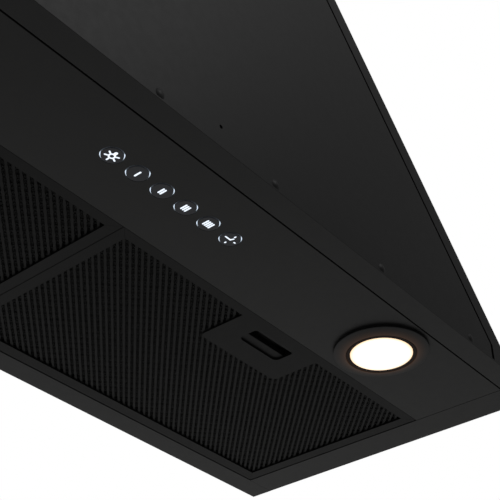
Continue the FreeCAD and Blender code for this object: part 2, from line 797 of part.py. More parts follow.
def scoop_outline():
    """Quarter ellipse that rises from the slot's front edge, then a thin roof back to the tab."""
    low, high = filter_bottom, latch_arm_low - 0.4
    front_y = pocket_front_y + pocket_wall
    roof_rear_y = tab_front_y - 2.2
    roof_top = high + 0.3
    outline = []
    for degrees in range(0, 91, 15):
        a = math.radians(degrees)
        outline.append((slot_front_y + scoop_depth * math.sin(a), low + (high - low) * (1 - math.cos(a))))
    outline += [(roof_rear_y, high), (roof_rear_y, roof_top), (front_y, roof_top)]
    outline += [(front_y, plate_high - 0.2), (slot_front_y - 0.4, plate_high - 0.2),
                (slot_front_y - 0.4, low)]
    return outline


def latch_plate():
    """Flush plate with the finger slot; behind it a pocket whose front side is a curved scoop."""
    cx = filter_centre_x
    front = filter_front_y + frame_bar[0]
    plate = box(cx - plate_half, cx + plate_half, front, plate_rear_y, filter_bottom, plate_high)
    rear_corners = [e for e in plate.Edges
                    if e.BoundBox.ZLength > 1 and e.BoundBox.YMin > plate_rear_y - 0.1]
    plate = plate.makeFillet(5, rear_corners)
    slot = rounded_box(cx - slot_half, cx + slot_half, slot_front_y, slot_rear_y, filter_bottom - 1,
                       tab_low + 0.5, 4.5)
    shell = plate.cut(slot)
    pocket = box(cx - pocket_half, cx + pocket_half, pocket_front_y, pocket_rear_y, plate_high - 0.2,
                 pocket_high)
    hollow = box(cx - pocket_half + pocket_wall, cx + pocket_half - pocket_wall,
                 pocket_front_y + pocket_wall, pocket_rear_y - pocket_wall, plate_high - 0.5,
                 pocket_high - pocket_wall)
    arm_way = box(cx - 10.6, cx + 10.6, pocket_front_y - 1, pocket_front_y + 2, latch_arm_low - 0.4,
                  latch_arm_high + 0.4)
    scoop = prism_yz(scoop_outline(), cx - slot_half, cx + slot_half)
    return fuse([shell, cut(pocket, [hollow, arm_way]), scoop])


def latch():
    """Sprung slider: the tab seen in the slot, a riser, and the arm that reaches the front bar."""
    cx = filter_centre_x
    tab = box(cx - slot_half - 0.6, cx + slot_half + 0.6, tab_front_y, tab_front_y + tab_depth,
              tab_low, tab_high)
    riser = box(cx - slot_half + 0.6, cx + slot_half - 0.6, tab_front_y, tab_front_y + sheet, tab_low,
                latch_arm_high)
    arm = box(cx - 10, cx + 10, filter_front_y + 0.4, tab_front_y + sheet, latch_arm_low, latch_arm_high)
    guide = rod(cx, tab_front_y + sheet, spring_z, spring_radius / 2, 6, Y)
    slider = fuse([tab, riser, arm, guide])
    front_edge = [e for e in slider.Edges if e.BoundBox.XLength > slot_width and
                  e.BoundBox.YMax < tab_front_y + 0.01 and e.BoundBox.ZMax < tab_low + 0.01]
    return slider.makeFillet(0.5, front_edge)


def latch_spring():
    """Compression spring between the riser and the rear wall of the pocket, as closed rings."""
    start = tab_front_y + sheet + 0.1
    end = pocket_rear_y - pocket_wall - 0.1
    turns = 9
    step = (end - start - 1.0) / (turns - 1)
    coils = []
    for i in range(turns):
        centre = Vector(filter_centre_x, start + 0.5 + i * step, spring_z)
        coils.append(Part.makeTorus(spring_radius, spring_wire, centre, Y))
    back = rod(filter_centre_x, start + 0.5, spring_z + spring_radius, spring_wire * 0.9,
               end - start - 1.0, Y)
    return fuse(coils + [back])


# ---------------------------------------------------------------- all nodes
def all_nodes():
    nodes = {
        "front_panel": front_panel(),
        "front_flange": front_flange(),
        "back_panel": back_panel(),
        "rear_flange": rear_flange(),
        "right_side_panel": right_side_panel(),
        "left_side_panel": mirror(right_side_panel()),
        "top_plate": top_plate(),
        "control_panel": control_panel(),
        "front_rivets": front_rivets(),
        "duct_collar": duct_collar(),
        "collar_flange": collar_flange(),
        "collar_screws": collar_screws(),
        "damper_spindle": damper_spindle(),
        "front_damper_flap": damper_flap(-1, [-52, 8]),
        "rear_damper_flap": damper_flap(1, [-22, 40]),
        "blower_scroll": blower_scroll(),
        "blower_left_side": blower_side(-1),
        "blower_right_side": blower_side(1),
        "inlet_rings": inlet_rings(),
        "blower_brackets": blower_brackets(),
        "impeller": impeller(),
        "motor_shaft": motor_shaft(),
        "motor_housing": motor_housing(),
        "motor_bearings": motor_bearings(),
        "motor_bracket": motor_bracket(),
        "run_capacitor": run_capacitor(),
        "junction_box": junction_box(),
        "junction_cover": junction_cover(),
        "cable_gland": cable_gland(),
        "led_driver": led_driver(),
        "wiring_harness": wiring_harness(),
        "button_carrier": button_carrier(),
        "button_light_rings": button_light_rings(),
        "button_switches": button_switches(),
        "control_board": control_board(),
        "lamp_boards": lamp_boards(),
        "lamp_clips": lamp_clips(),
    }
    for name, x in zip(button_names, button_xs):
        nodes["button_" + name] = button(x)
    for side, word in ((-1, "left"), (1, "right")):
        nodes[word + "_lamp_bezel"] = lamp_bezel(side)
        nodes[word + "_lamp_lens"] = lamp_lens(side)
        nodes[word + "_lamp_housing"] = lamp_housing(side)
    for make in (filter_frame, filter_mesh, latch_plate, latch, latch_spring):
        shape = make()
        nodes["right_" + make.__name__] = shape
        nodes["left_" + make.__name__] = mirror(shape)
    return nodes


def main():
    os.makedirs("parts", exist_ok=True)
    for name, shape in all_nodes().items():
        shape.translate(origin_shift)
        shape.exportStep("parts/" + name + ".step")


main()
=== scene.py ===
import json
import math

import bmesh
import bpy
from mathutils import Matrix, Vector


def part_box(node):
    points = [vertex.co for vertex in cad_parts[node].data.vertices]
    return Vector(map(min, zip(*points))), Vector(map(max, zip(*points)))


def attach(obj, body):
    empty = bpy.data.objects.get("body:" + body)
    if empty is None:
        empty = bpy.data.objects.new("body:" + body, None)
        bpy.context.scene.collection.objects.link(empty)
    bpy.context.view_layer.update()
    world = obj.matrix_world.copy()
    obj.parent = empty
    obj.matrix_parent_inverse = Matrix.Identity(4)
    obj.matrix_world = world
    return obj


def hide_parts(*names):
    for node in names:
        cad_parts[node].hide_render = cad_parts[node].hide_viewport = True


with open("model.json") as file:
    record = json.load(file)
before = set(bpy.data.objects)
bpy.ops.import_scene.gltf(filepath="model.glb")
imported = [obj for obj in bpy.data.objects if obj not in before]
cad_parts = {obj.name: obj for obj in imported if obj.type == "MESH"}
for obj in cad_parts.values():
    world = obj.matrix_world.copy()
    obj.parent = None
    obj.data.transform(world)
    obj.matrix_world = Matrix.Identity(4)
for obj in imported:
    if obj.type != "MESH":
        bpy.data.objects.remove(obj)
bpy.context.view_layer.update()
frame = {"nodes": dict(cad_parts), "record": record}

MM = 0.001
flange_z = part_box("control_panel")[0].z      # underside of the flange and of the control panel
SIDES = ("left", "right")
LENS_RING_PITCH = 1.2 * MM
LENS_WHITE, LENS_CREAM = 0.80, 1.02   # where a lens starts and ends turning cream, in its radii
LENS_GLOW = 1.35
# strength of the warm glow painted on each lamp's bezel as emission (painted light)
BEZEL_PAINTED_GLOW = 0.03
GROOVE_SLOPE = 0.4 * MM     # over which the painted shade of a rim's groove fades in
GROOVE_RADIUS = 27.1 * MM   # outer side of the groove in a lamp's rim
BUTTONS = ("light", "speed_1", "speed_2", "speed_3", "speed_4", "timer")


# ------------------------------------------------------------------ camera, lights and stage
CAMERA_TURN = (50.307, 36.629, -0.163)       # yaw, pitch and roll in degrees
CAMERA_PLACE = (-388.5, -479.3, -443.8)      # millimetres from the frame's axis at flange_z
CAMERA_LENS = 80.37                          # for a sensor 36 mm wide
CAMERA_SHIFT = -0.002
WORLD_GLOW = 0.225                           # light that the surroundings give
FLOOR_DROP = 700 * MM                        # from the hood's underside down to the floor
FLOOR_HALF = 4.0


def add_camera():
    """From below, in front and left of the hood, looking up to the right."""
    yaw, pitch, roll = (math.radians(angle) for angle in CAMERA_TURN)
    look = Vector((math.sin(yaw) * math.cos(pitch), math.cos(yaw) * math.cos(pitch), math.sin(pitch)))
    right = Vector((math.cos(yaw), -math.sin(yaw), 0))
    up = right.cross(look)
    image_right = right * math.cos(roll) + up * math.sin(roll)
    image_up = up * math.cos(roll) - right * math.sin(roll)
    data = bpy.data.cameras.new("camera")
    data.sensor_width = 36
    data.lens = CAMERA_LENS
    data.shift_y = CAMERA_SHIFT
    data.clip_start = 0.01
    camera = bpy.data.objects.new("camera", data)
    turn = Matrix((image_right, image_up, -look)).transposed()
    place = Vector((0, 0, flange_z)) + Vector(CAMERA_PLACE) * MM
    camera.matrix_world = Matrix.Translation(place) @ turn.to_4x4()
    bpy.context.scene.collection.objects.link(camera)
    bpy.context.scene.camera = camera


def add_light(name, place, aim, size, power):
    """Round area lamp at a place, turned towards aim; size is its diameter, power is in watts."""
    data = bpy.data.lights.new(name, "AREA")
    data.shape = "DISK"
    data.size = size
    data.energy = power
    light = bpy.data.objects.new(name, data)
    light.location = place
    light.rotation_euler = (Vector(aim) - Vector(place)).to_track_quat("-Z", "Y").to_euler()
    light.visible_camera = False
    bpy.context.scene.collection.objects.link(light)


def add_stage():
    """White surroundings, which look brighter than the light they give, and a pale floor."""
    world = bpy.data.worlds.new("studio")
    bpy.context.scene.world = world
    world.use_nodes = True
    tree = world.node_tree
    tree.nodes.clear()
    seen = tree.nodes.new("ShaderNodeBackground")
    seen.inputs["Color"].default_value = (1, 1, 1, 1)
    lit = tree.nodes.new("ShaderNodeBackground")
    lit.inputs["Color"].default_value = (1, 1, 1, 1)
    lit.inputs["Strength"].default_value = WORLD_GLOW
    path = tree.nodes.new("ShaderNodeLightPath")
    mix = tree.nodes.new("ShaderNodeMixShader")
    out = tree.nodes.new("ShaderNodeOutputWorld")
    tree.links.new(path.outputs["Is Camera Ray"], mix.inputs[0])
    tree.links.new(lit.outputs[0], mix.inputs[1])
    tree.links.new(seen.outputs[0], mix.inputs[2])
    tree.links.new(mix.outputs[0], out.inputs["Surface"])
    bpy.context.scene.view_settings.view_transform = "Standard"

    floor = mesh_piece("floor")
    edit = bmesh.new()
    bmesh.ops.create_grid(edit, x_segments=8, y_segments=8, size=FLOOR_HALF)
    bmesh.ops.translate(edit, verts=edit.verts, vec=(0, 0, flange_z - FLOOR_DROP))
    close_edit(edit, floor)
    floor.data.materials.append(floor_material())


# ------------------------------------------------------------------ mesh helpers
def mesh_piece(name):
    piece = bpy.data.objects.new(name, bpy.data.meshes.new(name))
    bpy.context.scene.collection.objects.link(piece)
    return piece


def close_edit(edit, piece):
    """Writes an edit into the piece's mesh."""
    edit.normal_update()
    edit.to_mesh(piece.data)
    edit.free()


# ------------------------------------------------------------------ material helpers
class Recipe:
    """One node material: a Principled shader and short calls for the textures that feed it."""

    def __init__(self, name, base, roughness, metallic=0.0):
        self.material = bpy.data.materials.new(name)
        self.material.use_nodes = True
        self.material.diffuse_color = (*base, 1)
        self.tree = self.material.node_tree
        self.shader = self.tree.nodes["Principled BSDF"]
        self.shader.inputs["Base Color"].default_value = (*base, 1)
        self.shader.inputs["Roughness"].default_value = roughness
        self.shader.inputs["Metallic"].default_value = metallic
        self.place = self.tree.nodes.new("ShaderNodeTexCoord").outputs["Object"]

    def node(self, kind, **inputs):
        made = self.tree.nodes.new("ShaderNode" + kind)
        for key, value in inputs.items():
            socket = made.inputs[key.replace("_", " ")]
            if hasattr(value, "is_linked"):
                self.tree.links.new(value, socket)
            else:
                socket.default_value = value
        return made

    def noise(self, scale, detail=2.0, stretch=(1, 1, 1), distortion=0.0):
        mapped = self.node("Mapping", Vector=self.place, Scale=stretch)
        return self.node("TexNoise", Vector=mapped.outputs[0], Scale=scale, Detail=detail,
                         Distortion=distortion).outputs[0]

    def cells(self, scale, feature="F1"):
        made = self.node("TexVoronoi", Vector=self.place, Scale=scale)
        made.feature = feature
        return made

    def blend(self, factor, low, high):
        """Colour between low and high."""
        made = self.tree.nodes.new("ShaderNodeMix")
        made.data_type = "RGBA"
        self.tree.links.new(factor, made.inputs["Factor"])
        made.inputs[6].default_value = (*low, 1)
        made.inputs[7].default_value = (*high, 1)
        return made.outputs[2]

    def span(self, factor, low, high, start=0.3, end=0.7):
        """Number between low and high as the factor goes from start to end."""
        made = self.node("MapRange", Value=factor)
        for key, value in (("From Min", start), ("From Max", end), ("To Min", low), ("To Max", high)):
            made.inputs[key].default_value = value
        return made.outputs[0]

    def feed(self, socket, value):
        self.tree.links.new(value, self.shader.inputs[socket])

    def bump(self, height, strength, distance, base=None):
        made = self.node("Bump", Height=height, Strength=strength, Distance=distance)
        if base is not None:
            self.tree.links.new(base, made.inputs["Normal"])
        self.feed("Normal", made.outputs[0])
        return made.outputs[0]

    def distance_from(self, point):
        """Distance in metres from the upright axis through a point."""
        back = (-point[0], -point[1], 0)
        offset = self.node("Mapping", Vector=self.place, Location=back, Scale=(1, 1, 0))
        length = self.tree.nodes.new("ShaderNodeVectorMath")
        length.operation = "LENGTH"
        self.tree.links.new(offset.outputs[0], length.inputs[0])
        return length.outputs["Value"]


def floor_material():
    recipe = Recipe("pale_floor", (0.80, 0.80, 0.79), 0.6)
    recipe.feed("Base Color", recipe.blend(recipe.noise(3.0), (0.79, 0.79, 0.78), (0.82, 0.82, 0.81)))
    return recipe.material


def powder_coat(name, base, roughness, sheen=0.18):
    """Satin powder coat: fine orange-peel grain, slight cloudiness in colour and gloss."""
    recipe = Recipe(name, base, roughness)
    recipe.shader.inputs["Specular IOR Level"].default_value = sheen
    cloud = recipe.noise(18.0, 2.0)
    recipe.feed("Base Color", recipe.blend(cloud, [c * 0.94 for c in base], [c * 1.06 for c in base]))
    gloss = recipe.noise(160.0, 3.0)
    recipe.feed("Roughness", recipe.span(gloss, roughness - 0.015, roughness + 0.015))
    peel = recipe.bump(recipe.noise(1100.0, 2.0), 0.22, 0.00004)
    recipe.bump(recipe.noise(2600.0, 1.0), 0.25, 0.00002, peel)
    return recipe


def coated_mesh():
    """Black coating on expanded aluminium, a little uneven in tone and gloss."""
    recipe = Recipe("coated_mesh", (0.005, 0.005, 0.005), 0.46)
    recipe.shader.inputs["Specular IOR Level"].default_value = 0.07
    recipe.feed("Base Color", recipe.blend(recipe.noise(700.0, 3.0), (0.0035, 0.0035, 0.0035),
                                           (0.0065, 0.0065, 0.0065)))
    recipe.feed("Roughness", recipe.span(recipe.noise(350.0, 2.0), 0.42, 0.52))
    recipe.bump(recipe.noise(2400.0, 2.0), 0.3, 0.00003)
    return recipe.material


def painted_shade_sheet_material():
    # near-black sheet that stands in for the shade deep inside the filter pack: painted shade
    recipe = Recipe("painted_shade_core", (0.004, 0.004, 0.004), 0.85)
    recipe.feed("Base Color", recipe.blend(recipe.noise(1200.0, 3.0), (0.002, 0.002, 0.002),
                                           (0.006, 0.006, 0.006)))
    recipe.bump(recipe.noise(900.0, 3.0), 0.8, 0.0002)
    return recipe.material


def button_plastic():
    """Moulded cap: fine spark-eroded texture, a little lighter than the panel."""
    base = (0.026, 0.027, 0.031)
    recipe = Recipe("button_plastic", base, 0.48)
    recipe.shader.inputs["Specular IOR Level"].default_value = 0.18
    recipe.feed("Base Color", recipe.blend(recipe.noise(300.0, 2.0), [c * 0.92 for c in base],
                                           [c * 1.08 for c in base]))
    recipe.feed("Roughness", recipe.span(recipe.noise(1200.0, 2.0), 0.42, 0.54))
    recipe.bump(recipe.noise(3200.0, 2.0), 0.4, 0.00002)
    return recipe.material


def glow(name, colour, strength, mottling=0.08):
    """Lit plastic with a faint unevenness."""
    recipe = Recipe(name, (0.5, 0.5, 0.5), 0.5)
    dim = [c * (1 - mottling) for c in colour]
    recipe.feed("Emission Color", recipe.blend(recipe.noise(500.0, 2.0), dim, colour))
    recipe.shader.inputs["Emission Strength"].default_value = strength
    recipe.bump(recipe.noise(1500.0, 1.0), 0.2, 0.00002)
    return recipe.material


def lens_material(side, centre, radius):
    """Frosted diffuser: white in the middle, cream at its rim, over faint prism rings."""
    recipe = Recipe("lamp_lens_" + side, (0.45, 0.44, 0.41), 0.35)
    away = recipe.distance_from(centre)
    rim = recipe.span(away, 0.0, 1.0, radius * LENS_WHITE, radius * LENS_CREAM)
    recipe.feed("Emission Color", recipe.blend(rim, (1.0, 0.97, 0.91), (0.74, 0.46, 0.22)))
    recipe.shader.inputs["Emission Strength"].default_value = LENS_GLOW
    rings = recipe.node("Math", Value=away)
    rings.operation = "MULTIPLY"
    rings.inputs[1].default_value = 2 * math.pi / LENS_RING_PITCH
    wave = recipe.node("Math", Value=rings.outputs[0])
    wave.operation = "SINE"
    recipe.bump(wave.outputs[0], 0.15, 0.00005)
    return recipe.material


def bezel_material(side, centre, outer):
    """Powder coat with painted light from the lamp: a warm painted glow that fades out from the
    groove's edge to the rim, and painted shade in the groove, which gets a darker brownish tone, less
    sheen and little glow.
    """
    recipe = powder_coat("lamp_bezel_painted_glow_" + side, (0.005, 0.005, 0.005), 0.46)
    away = recipe.distance_from(centre)
    # near falls from 1 at the groove to 0 at the rim's outer edge: where the painted glow is strongest
    near = recipe.node("Math", Value=recipe.span(away, 1.0, 0.0, GROOVE_RADIUS, outer))
    near.operation = "POWER"
    near.inputs[1].default_value = 2.0
    # inside is 0.10 in the groove and 1 outside it; it carries the groove's painted shade
    inside = recipe.span(away, 0.10, 1.0, GROOVE_RADIUS - GROOVE_SLOPE, GROOVE_RADIUS)
    painted_glow_share = recipe.node("Math", Value=near.outputs[0])
    painted_glow_share.operation = "MULTIPLY"
    recipe.tree.links.new(inside, painted_glow_share.inputs[1])
    # painted glow: warm lamp light painted onto the bezel as emission
    painted_glow_colour = recipe.blend(painted_glow_share.outputs[0], (0.0, 0.0, 0.0), (1.0, 0.46, 0.22))
    recipe.feed("Emission Color", painted_glow_colour)
    recipe.shader.inputs["Emission Strength"].default_value = BEZEL_PAINTED_GLOW
    # painted shade in the groove: a darker brownish tone and less sheen
    recipe.feed("Base Color", recipe.blend(inside, (0.006, 0.003, 0.002), (0.005, 0.005, 0.005)))
    recipe.feed("Specular IOR Level", recipe.span(inside, 0.07, 0.18, 0.10, 1.0))
    return recipe.material


def galvanised():
    """Zinc spangle: facets of slightly different grey and gloss."""
    recipe = Recipe("galvanised", (0.55, 0.56, 0.57), 0.42, 1.0)
    spangle = recipe.cells(95.0)
    grey = recipe.node("SeparateColor", Color=spangle.outputs["Color"]).outputs[0]
    recipe.feed("Base Color", recipe.blend(grey, (0.42, 0.43, 0.45), (0.66, 0.67, 0.68)))
    recipe.feed("Roughness", recipe.span(grey, 0.34, 0.52, 0.0, 1.0))
    recipe.bump(recipe.noise(400.0, 3.0), 0.15, 0.00004)
    return recipe.material


def turned_steel():
    recipe = Recipe("turned_steel", (0.62, 0.62, 0.61), 0.3, 1.0)
    lines = recipe.noise(300.0, 3.0, stretch=(8, 1, 1))
    recipe.feed("Roughness", recipe.span(lines, 0.22, 0.40))
    recipe.bump(lines, 0.2, 0.00003)
    return recipe.material


def cast_alloy():
    recipe = Recipe("cast_alloy", (0.50, 0.50, 0.51), 0.5, 0.9)
    grain = recipe.noise(60.0, 4.0)
    recipe.feed("Base Color", recipe.blend(grain, (0.42, 0.42, 0.43), (0.56, 0.56, 0.57)))
    recipe.bump(recipe.noise(700.0, 4.0), 0.5, 0.0001)
    return recipe.material


def moulded(name, base, roughness):
    recipe = Recipe(name, base, roughness)
    recipe.feed("Base Color", recipe.blend(recipe.noise(80.0, 3.0), [c * 0.9 for c in base],
                                           [min(1.0, c * 1.1) for c in base]))
    recipe.feed("Roughness", recipe.span(recipe.noise(500.0, 2.0), roughness - 0.05, roughness + 0.06))
    recipe.bump(recipe.noise(1600.0, 2.0), 0.3, 0.00003)
    return recipe.material


def circuit_board():
    """Green lacquer over copper tracks that run in square steps."""
    recipe = Recipe("circuit_board", (0.02, 0.13, 0.05), 0.35)
    tracks = recipe.node("TexBrick", Vector=recipe.place, Scale=160.0)
    tracks.inputs["Color1"].default_value = (0.02, 0.13, 0.05, 1)
    tracks.inputs["Color2"].default_value = (0.025, 0.16, 0.06, 1)
    tracks.inputs["Mortar"].default_value = (0.07, 0.26, 0.10, 1)
    tracks.inputs["Mortar Size"].default_value = 0.03
    recipe.feed("Base Color", tracks.outputs["Color"])
    recipe.bump(tracks.outputs["Fac"], 0.3, 0.00005)
    return recipe.material


def braided_sleeve():
    recipe = Recipe("braided_sleeve", (0.02, 0.02, 0.02), 0.6)
    weave = recipe.node("TexWave", Vector=recipe.place, Scale=420.0, Distortion=1.0)
    weave.bands_direction = "DIAGONAL"
    strands = weave.outputs["Fac"]
    recipe.feed("Base Color", recipe.blend(strands, (0.008, 0.008, 0.008), (0.035, 0.035, 0.035)))
    recipe.bump(strands, 0.6, 0.0002)
    return recipe.material


# ------------------------------------------------------------------ expanded mesh of the filters
RIB_PITCH = 4.21 * MM        # across the ribs, which lie at 45 degrees
HOLE_PITCH = 8.05 * MM       # along the ribs, from one bridge to the next
RIB_HALF_WIDTH = 1.02 * MM
RIB_SWELL = 0.16 * MM        # added where the bridges spring from a rib
RIB_STEP = HOLE_PITCH / 6
BRIDGE_SAG = 0.9 * MM        # how much deeper the middle of a bridge lies
BRIDGE_BOW = 0.6 * MM        # and how far it is set back along the ribs
BRIDGE_TOP = 0.1 * MM        # how deep the ends of a bridge lie below the crest of the ribs
BRIDGE_ROOT = 0.9            # where a bridge starts, as a share of the rib's half width
BRIDGE_STEPS = 4
SECOND_DEPTH = 0.5 * MM      # of the second set of bridges
CORE_OFFSET = 0.6 * MM       # of the black painted-shade sheet above the middle of the pack
MESH_EDGE = 1.3 * MM
POCKET_SIDE = 2.2 * MM       # from the latch to the middle of the pocket wall beside it
POCKET_REAR = 5.1 * MM       # from the rear edge of the latch plate to the pocket's rear wall
ALONG = Vector((1, 1)).normalized()
ACROSS = Vector((-1, 1)).normalized()

# Sections of a rib, as (share of its half width, depth in mm), and of a bridge, as (mm, mm)
RIB_PROFILE = ((-1.0, 1.0), (-1.0, 0.15), (-0.8, 0.0), (0.8, 0.0), (1.0, 0.15), (1.0, 1.0))
BRIDGE_PROFILE = ((-0.65, 0.6), (-0.65, 0.0), (0.65, 0.0), (0.65, 0.6))


def add_strip(edit, rows, keep):
    """Joins rows of points with faces, leaving out those whose middle fails keep(x, y)."""
    made = [[edit.verts.new(point) for point in row] for row in rows]
    for near, far in zip(made, made[1:]):
        middle = (near[0].co + far[-1].co) / 2
        if keep(middle.x, middle.y):
            for i in range(len(near) - 1):
                edit.faces.new((near[i], near[i + 1], far[i + 1], far[i]))


def rib_half(u):
    """Half width of a rib at the distance u along it."""
    return RIB_HALF_WIDTH + RIB_SWELL * math.cos(2 * math.pi * u / HOLE_PITCH)


def add_rib(edit, middle, v, span, crest, inward, keep):
    """One straight rib at the distance v across; its crest lies at the height crest."""
    rows = []
    for k in range(math.floor(span[0] / RIB_STEP), math.ceil(span[1] / RIB_STEP) + 1):
        u = k * RIB_STEP
        row = []
        for share, depth in RIB_PROFILE:
            flat = middle + ALONG * u + ACROSS * (v + share * rib_half(u))
            row.append((flat.x, flat.y, crest + inward * depth * MM))
        rows.append(row)
    add_strip(edit, rows, keep)


def add_bridges(edit, middle, v, span, top, inward, shift, keep):
    """The arched bridges from the rib at v to the next one."""
    first = math.ceil((span[0] - shift) / HOLE_PITCH)
    last = math.floor((span[1] - shift) / HOLE_PITCH)
    for k in range(first, last + 1):
        u = k * HOLE_PITCH + shift
        start = rib_half(u) * BRIDGE_ROOT
        rows = []
        for step in range(BRIDGE_STEPS + 1):
            share = step / BRIDGE_STEPS
            arch = math.sin(math.pi * share)
            level = top + inward * BRIDGE_SAG * arch
            row = []
            for offset, depth in BRIDGE_PROFILE:
                flat = middle + ALONG * (u + offset * MM - BRIDGE_BOW * arch)
                flat += ACROSS * (v + start + share * (RIB_PITCH - 2 * start))
                row.append((flat.x, flat.y, level + inward * depth * MM))
            rows.append(row)
        add_strip(edit, rows, keep)


def mesh_layer(edit, window, crest, inward, shift, ribs, keep):
    """One layer of expanded metal over the window; the pack's inside lies on its inward side."""
    x0, x1, y0, y1 = window
    middle = Vector(((x0 + x1) / 2, (y0 + y1) / 2))
    half_x, half_y = (x1 - x0) * math.sqrt(0.5), (y1 - y0) * math.sqrt(0.5)
    rows = int((half_x + half_y) / RIB_PITCH)
    for row in range(-rows, rows + 1):
        v = row * RIB_PITCH
        span = (max(v - half_x, -v - half_y), min(v + half_x, half_y - v))
        if span[1] > span[0]:
            if ribs:
                add_rib(edit, middle, v, span, crest, inward, keep)
            add_bridges(edit, middle, v, span, crest + inward * BRIDGE_TOP, inward, shift, keep)


def add_painted_shade_sheet(edit, window, pocket, level):
    """Black sheet half way through the pack, in three rectangles round the latch pocket: painted shade
    that darkens the holes of the mesh.
    """
    x0, x1, y0, y1 = window
    pocket_left, pocket_right, pocket_rear = pocket
    for left, right, front in ((x0, pocket_left, y0), (pocket_left, pocket_right, pocket_rear),
                               (pocket_right, x1, y0)):
        corners = ((left, front), (right, front), (right, y1), (left, y1))
        edit.faces.new([edit.verts.new((x, y, level)) for x, y in corners])


def filter_meshes(material, painted_shade_sheet):
    """Two layers that face the cook, one that faces the blower, and between them a black sheet as
    painted shade inside the pack.
    """
    for side in SIDES:
        low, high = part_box(side + "_filter_mesh")
        plate_low, plate_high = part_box(side + "_latch_plate")
        window = (low.x, high.x, low.y, high.y)
        notch = (plate_low.x + MM, plate_high.x - MM, plate_high.y - MM)

        def keep(x, y):
            in_window = (low.x + MESH_EDGE < x < high.x - MESH_EDGE and
                         low.y + MESH_EDGE < y < high.y - MESH_EDGE)
            return in_window and not (notch[0] < x < notch[1] and y < notch[2])

        # Word, height of the crest, way inward, shift along the ribs, and whether it has ribs
        layers = (("face", low.z, 1, 0.0, True),
                  ("second", low.z + SECOND_DEPTH, 1, HOLE_PITCH / 2, False),
                  ("inner", high.z, -1, HOLE_PITCH / 4, True))
        for word, crest, inward, shift, ribs in layers:
            edit = bmesh.new()
            mesh_layer(edit, window, crest, inward, shift, ribs, keep)
            place_mesh(edit, side, word, material)
        latch_low, latch_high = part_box(side + "_latch")
        pocket = (latch_low.x - POCKET_SIDE, latch_high.x + POCKET_SIDE, plate_high.y - POCKET_REAR)
        edit = bmesh.new()
        add_painted_shade_sheet(edit, window, pocket, (low.z + high.z) / 2 + CORE_OFFSET)
        place_mesh(edit, side, "painted_shade_sheet", painted_shade_sheet)


def place_mesh(edit, side, word, material):
    piece = mesh_piece(f"{side}_mesh_{word}")
    loose = [vert for vert in edit.verts if not vert.link_faces]
    bmesh.ops.delete(edit, geom=loose, context="VERTS")
    close_edit(edit, piece)
    piece.data.materials.append(material)
    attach(piece, side + "_filter")
    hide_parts(side + "_filter_mesh")


# ------------------------------------------------------------------ signs on the buttons
SIGN_WIDTH = 1.15 * MM
SIGN_LIFT = 0.03 * MM
BULB_RISE = 0.3 * MM         # of the bulb's middle from the middle of its button
BULB_OUTER, BULB_INNER = 2.5 * MM, 1.35 * MM
CAP_FRONT, CAP_REAR, CAP_WIDTH = 3.5 * MM, 2.5 * MM, 2.2 * MM
RAY_ANGLES = (90, 25, 155, -28, 208)
RAY_START, RAY_LENGTH = 3.0 * MM, 1.5 * MM
SPEED_GAP, SPEED_HALF, SPEED_WIDTH = 1.75 * MM, 2.4 * MM, 1.3 * MM
TICK_START, TICK_LENGTH = 3.9 * MM, 0.8 * MM
LONG_HAND = 4.6 * MM
SHORT_HAND = (0.9 * MM, -2.2 * MM)


def add_stroke(edit, start, end, width, z):
    """Thin flat bar with rounded ends from start to end, half of it below the height z."""
    start, end = Vector(start), Vector(end)
    way = (end - start).normalized()
    side = Vector((-way.y, way.x))
    points = []
    for centre, first in ((end, -90), (start, 90)):
        for step in range(7):
            angle = math.radians(first + 30 * step)
            offset = way * math.cos(angle) + side * math.sin(angle)
            points.append(centre + offset * width / 2)
    low = [edit.verts.new((p.x, p.y, z - SIGN_LIFT)) for p in points]
    high = [edit.verts.new((p.x, p.y, z + SIGN_LIFT)) for p in points]
    edit.faces.new(list(reversed(low)))
    edit.faces.new(high)
    for i in range(len(points)):
        j = (i + 1) % len(points)
        edit.faces.new((low[i], low[j], high[j], high[i]))


def add_ring(edit, centre, outer, inner, z, steps=28):
    loops = []
    for radius, level in ((inner, z - SIGN_LIFT), (outer, z - SIGN_LIFT), (outer, z + SIGN_LIFT),
                          (inner, z + SIGN_LIFT)):
        loop = []
        for i in range(steps):
            angle = 2 * math.pi * i / steps
            loop.append(edit.verts.new((centre[0] + radius * math.cos(angle),
                                        centre[1] + radius * math.sin(angle), level)))
        loops.append(loop)
    for near, far in zip(loops, loops[1:] + loops[:1]):
        for i in range(steps):
            j = (i + 1) % steps
            edit.faces.new((near[i], near[j], far[j], far[i]))


def light_sign(edit, x, y, z):
    """A bulb: cap towards the front, ring for the glass and five rays."""
    add_ring(edit, (x, y + BULB_RISE), BULB_OUTER, BULB_INNER, z)
    add_stroke(edit, (x, y - CAP_FRONT), (x, y - CAP_REAR), CAP_WIDTH, z)
    for degrees in RAY_ANGLES:
        angle = math.radians(degrees)
        ray = Vector((math.cos(angle), math.sin(angle)))
        start = Vector((x, y + BULB_RISE)) + ray * RAY_START
        add_stroke(edit, start, start + ray * RAY_LENGTH, SIGN_WIDTH, z)


def speed_sign(edit, x, y, z, count):
    """One to four upright bars."""
    for i in range(count):
        place = x + (i - (count - 1) / 2) * SPEED_GAP
        add_stroke(edit, (place, y - SPEED_HALF), (place, y + SPEED_HALF), SPEED_WIDTH, z)


def timer_sign(edit, x, y, z):
    """A clock: ticks at the quarters and two hands."""
    for dx, dy in ((0, -1), (1, 0), (0, 1)):
        way = Vector((dx, dy))
        start = Vector((x, y)) + way * TICK_START
        add_stroke(edit, start, start + way * TICK_LENGTH, SIGN_WIDTH, z)
    add_stroke(edit, (x - LONG_HAND, y), (x, y), SIGN_WIDTH, z)
    add_stroke(edit, (x, y), (x + SHORT_HAND[0], y + SHORT_HAND[1]), SIGN_WIDTH, z)


